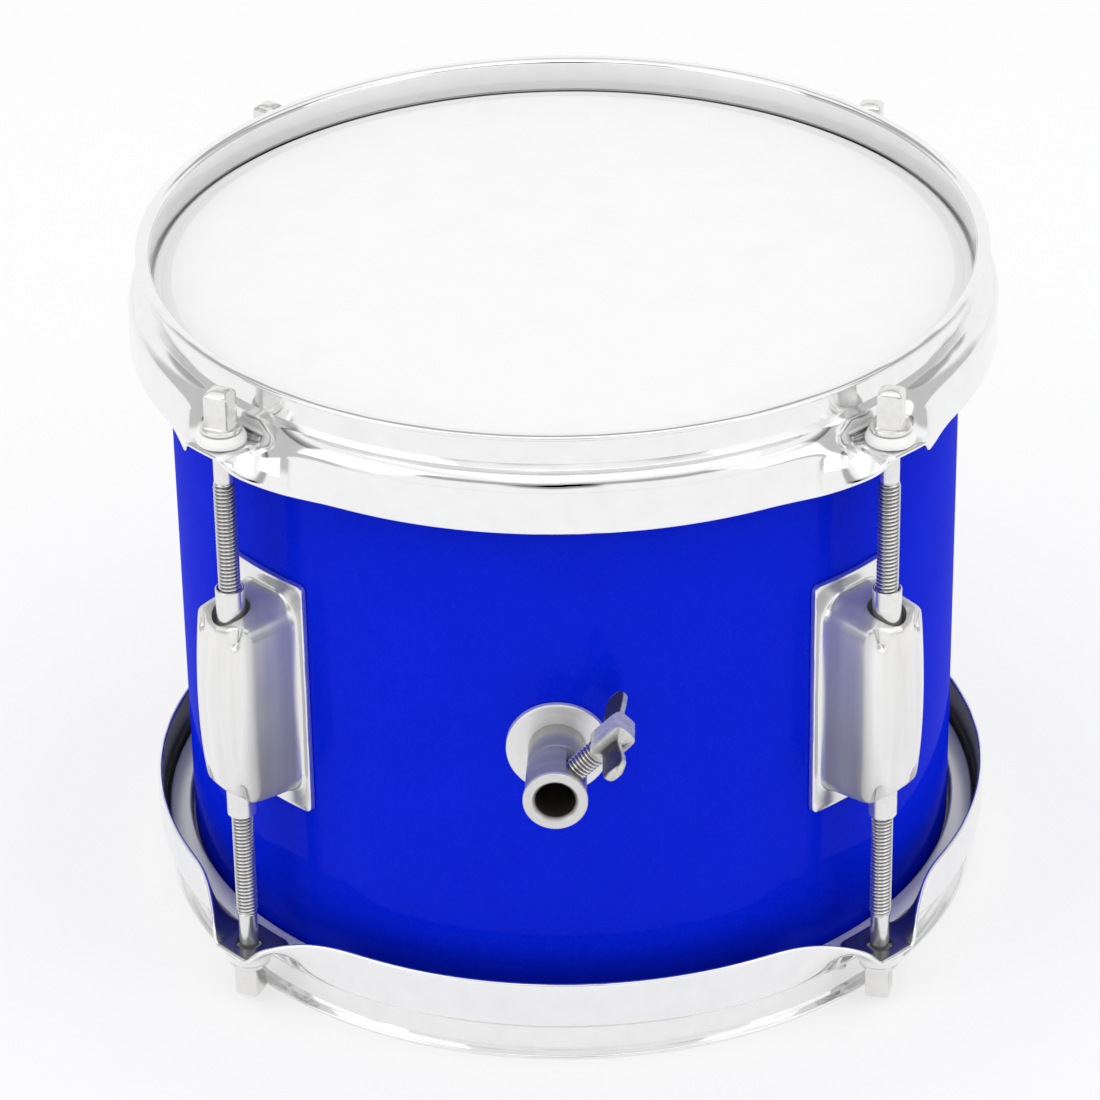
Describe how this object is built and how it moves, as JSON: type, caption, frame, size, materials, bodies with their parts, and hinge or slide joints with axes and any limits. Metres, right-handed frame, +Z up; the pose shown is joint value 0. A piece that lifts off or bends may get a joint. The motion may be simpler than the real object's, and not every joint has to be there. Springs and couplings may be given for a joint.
{
  "type": "rack tom drum",
  "caption": "Small rack tom: wrapped shell, pressed steel hoops, heads drawn down by key rods into swivel nut lugs, and a tube socket with a wing clamp.",
  "frame": {"origin": "on the floor under the middle of the bounding box; the drum's axis stands 13.46 mm behind it (+Y)", "axes": "+Z up along the drum's axis to the batter head, -Y to the tube socket, +X to the side of the wing clamp"},
  "size_m": [0.2242, 0.2512, 0.1815],
  "materials": {
    "chrome": "bright chrome plate on pressed and turned steel",
    "die_cast": "plated die-cast zinc with a soft satin shine",
    "bright_steel": "bright nickel plated steel",
    "plywood": "plain sanded plywood",
    "blue_wrap": "glossy deep blue plastic covering with a fine metallic grain",
    "white_film": "white coated polyester film, finely textured",
    "white_nylon": "smooth white nylon"
  },
  "bodies": {
    "drum": {"batter_flesh_hoop": "bright_steel", "batter_head": "white_film", "bottom_hoop": "chrome", "bracket_backing_disc": "bright_steel", "bracket_bolt": "bright_steel", "bracket_plate": "bright_steel", "bracket_socket": "bright_steel", "lug_casing_front_left": "die_cast", "lug_casing_front_right": "die_cast", "lug_casing_rear_left": "die_cast", "lug_casing_rear_right": "die_cast", "lug_screw_lower_front_left": "bright_steel", "lug_screw_lower_front_right": "bright_steel", "lug_screw_lower_rear_left": "bright_steel", "lug_screw_lower_rear_right": "bright_steel", "lug_screw_upper_front_left": "bright_steel", "lug_screw_upper_front_right": "bright_steel", "lug_screw_upper_rear_left": "bright_steel", "lug_screw_upper_rear_right": "bright_steel", "nut_spacer_front_left": "white_nylon", "nut_spacer_front_right": "white_nylon", "nut_spacer_rear_left": "white_nylon", "nut_spacer_rear_right": "white_nylon", "resonant_flesh_hoop": "bright_steel", "resonant_head": "white_film", "shell": "plywood", "shell_wrap": "blue_wrap", "swivel_nut_bottom_front_left": "bright_steel", "swivel_nut_bottom_front_right": "bright_steel", "swivel_nut_bottom_rear_left": "bright_steel", "swivel_nut_bottom_rear_right": "bright_steel", "swivel_nut_top_front_left": "bright_steel", "swivel_nut_top_front_right": "bright_steel", "swivel_nut_top_rear_left": "bright_steel", "swivel_nut_top_rear_right": "bright_steel", "top_hoop": "chrome", "vent_eyelet": "chrome"},
    "rod_washer_top_front_left": {"rod_washer_top_front_left": "white_nylon"},
    "tension_rod_top_front_left": {"tension_rod_top_front_left": "chrome"},
    "rod_washer_top_front_right": {"rod_washer_top_front_right": "white_nylon"},
    "tension_rod_top_front_right": {"tension_rod_top_front_right": "chrome"},
    "rod_washer_top_rear_right": {"rod_washer_top_rear_right": "white_nylon"},
    "tension_rod_top_rear_right": {"tension_rod_top_rear_right": "chrome"},
    "rod_washer_top_rear_left": {"rod_washer_top_rear_left": "white_nylon"},
    "tension_rod_top_rear_left": {"tension_rod_top_rear_left": "chrome"},
    "rod_washer_bottom_front_left": {"rod_washer_bottom_front_left": "white_nylon"},
    "tension_rod_bottom_front_left": {"tension_rod_bottom_front_left": "chrome"},
    "rod_washer_bottom_front_right": {"rod_washer_bottom_front_right": "white_nylon"},
    "tension_rod_bottom_front_right": {"tension_rod_bottom_front_right": "chrome"},
    "rod_washer_bottom_rear_right": {"rod_washer_bottom_rear_right": "white_nylon"},
    "tension_rod_bottom_rear_right": {"tension_rod_bottom_rear_right": "chrome"},
    "rod_washer_bottom_rear_left": {"rod_washer_bottom_rear_left": "white_nylon"},
    "tension_rod_bottom_rear_left": {"tension_rod_bottom_rear_left": "chrome"},
    "clamp_stud": {"clamp_stud": "bright_steel"},
    "wing_handle": {"wing_handle": "bright_steel"}
  },
  "joints": [
    {"name": "rod_lift_top_front_left", "type": "slide", "parent": "drum", "child": "rod_washer_top_front_left", "axis": [0, 0, 1], "range_m": [0, 0.018]},
    {"name": "rod_turn_top_front_left", "type": "hinge", "parent": "rod_washer_top_front_left", "child": "tension_rod_top_front_left", "pos_m": [-0.08153, -0.06807, 0.1655], "axis": [0, 0, 1], "range_deg": [0, 6123]},
    {"name": "rod_lift_top_front_right", "type": "slide", "parent": "drum", "child": "rod_washer_top_front_right", "axis": [0, 0, 1], "range_m": [0, 0.018]},
    {"name": "rod_turn_top_front_right", "type": "hinge", "parent": "rod_washer_top_front_right", "child": "tension_rod_top_front_right", "pos_m": [0.08153, -0.06807, 0.1655], "axis": [0, 0, 1], "range_deg": [0, 6123]},
    {"name": "rod_lift_top_rear_right", "type": "slide", "parent": "drum", "child": "rod_washer_top_rear_right", "axis": [0, 0, 1], "range_m": [0, 0.018]},
    {"name": "rod_turn_top_rear_right", "type": "hinge", "parent": "rod_washer_top_rear_right", "child": "tension_rod_top_rear_right", "pos_m": [0.08153, 0.09499, 0.1655], "axis": [0, 0, 1], "range_deg": [0, 6123]},
    {"name": "rod_lift_top_rear_left", "type": "slide", "parent": "drum", "child": "rod_washer_top_rear_left", "axis": [0, 0, 1], "range_m": [0, 0.018]},
    {"name": "rod_turn_top_rear_left", "type": "hinge", "parent": "rod_washer_top_rear_left", "child": "tension_rod_top_rear_left", "pos_m": [-0.08153, 0.09499, 0.1655], "axis": [0, 0, 1], "range_deg": [0, 6123]},
    {"name": "rod_lift_bottom_front_left", "type": "slide", "parent": "drum", "child": "rod_washer_bottom_front_left", "axis": [0, 0, -1], "range_m": [0, 0.018]},
    {"name": "rod_turn_bottom_front_left", "type": "hinge", "parent": "rod_washer_bottom_front_left", "child": "tension_rod_bottom_front_left", "pos_m": [-0.08153, -0.06807, 0.016], "axis": [0, 0, -1], "range_deg": [0, 6123]},
    {"name": "rod_lift_bottom_front_right", "type": "slide", "parent": "drum", "child": "rod_washer_bottom_front_right", "axis": [0, 0, -1], "range_m": [0, 0.018]},
    {"name": "rod_turn_bottom_front_right", "type": "hinge", "parent": "rod_washer_bottom_front_right", "child": "tension_rod_bottom_front_right", "pos_m": [0.08153, -0.06807, 0.016], "axis": [0, 0, -1], "range_deg": [0, 6123]},
    {"name": "rod_lift_bottom_rear_right", "type": "slide", "parent": "drum", "child": "rod_washer_bottom_rear_right", "axis": [0, 0, -1], "range_m": [0, 0.018]},
    {"name": "rod_turn_bottom_rear_right", "type": "hinge", "parent": "rod_washer_bottom_rear_right", "child": "tension_rod_bottom_rear_right", "pos_m": [0.08153, 0.09499, 0.016], "axis": [0, 0, -1], "range_deg": [0, 6123]},
    {"name": "rod_lift_bottom_rear_left", "type": "slide", "parent": "drum", "child": "rod_washer_bottom_rear_left", "axis": [0, 0, -1], "range_m": [0, 0.018]},
    {"name": "rod_turn_bottom_rear_left", "type": "hinge", "parent": "rod_washer_bottom_rear_left", "child": "tension_rod_bottom_rear_left", "pos_m": [-0.08153, 0.09499, 0.016], "axis": [0, 0, -1], "range_deg": [0, 6123]},
    {"name": "clamp_feed", "type": "slide", "parent": "drum", "child": "clamp_stud", "axis": [0.7071, 0, 0.7071], "range_m": [-0.002, 0.0025]},
    {"name": "wing_turn", "type": "hinge", "parent": "clamp_stud", "child": "wing_handle", "pos_m": [0, -0.10754, 0.09075], "axis": [0.7071, 0, 0.7071], "range_deg": [-720, 900]}
  ],
  "couplings": [
    {"joint": "rod_turn_top_front_left", "follows": "rod_lift_top_front_left", "rad_per_m": 5936.9},
    {"joint": "rod_turn_top_front_right", "follows": "rod_lift_top_front_right", "rad_per_m": 5936.9},
    {"joint": "rod_turn_top_rear_right", "follows": "rod_lift_top_rear_right", "rad_per_m": 5936.9},
    {"joint": "rod_turn_top_rear_left", "follows": "rod_lift_top_rear_left", "rad_per_m": 5936.9},
    {"joint": "rod_turn_bottom_front_left", "follows": "rod_lift_bottom_front_left", "rad_per_m": 5936.9},
    {"joint": "rod_turn_bottom_front_right", "follows": "rod_lift_bottom_front_right", "rad_per_m": 5936.9},
    {"joint": "rod_turn_bottom_rear_right", "follows": "rod_lift_bottom_rear_right", "rad_per_m": 5936.9},
    {"joint": "rod_turn_bottom_rear_left", "follows": "rod_lift_bottom_rear_left", "rad_per_m": 5936.9},
    {"joint": "wing_turn", "follows": "clamp_feed", "rad_per_m": 6283.2}
  ]
}
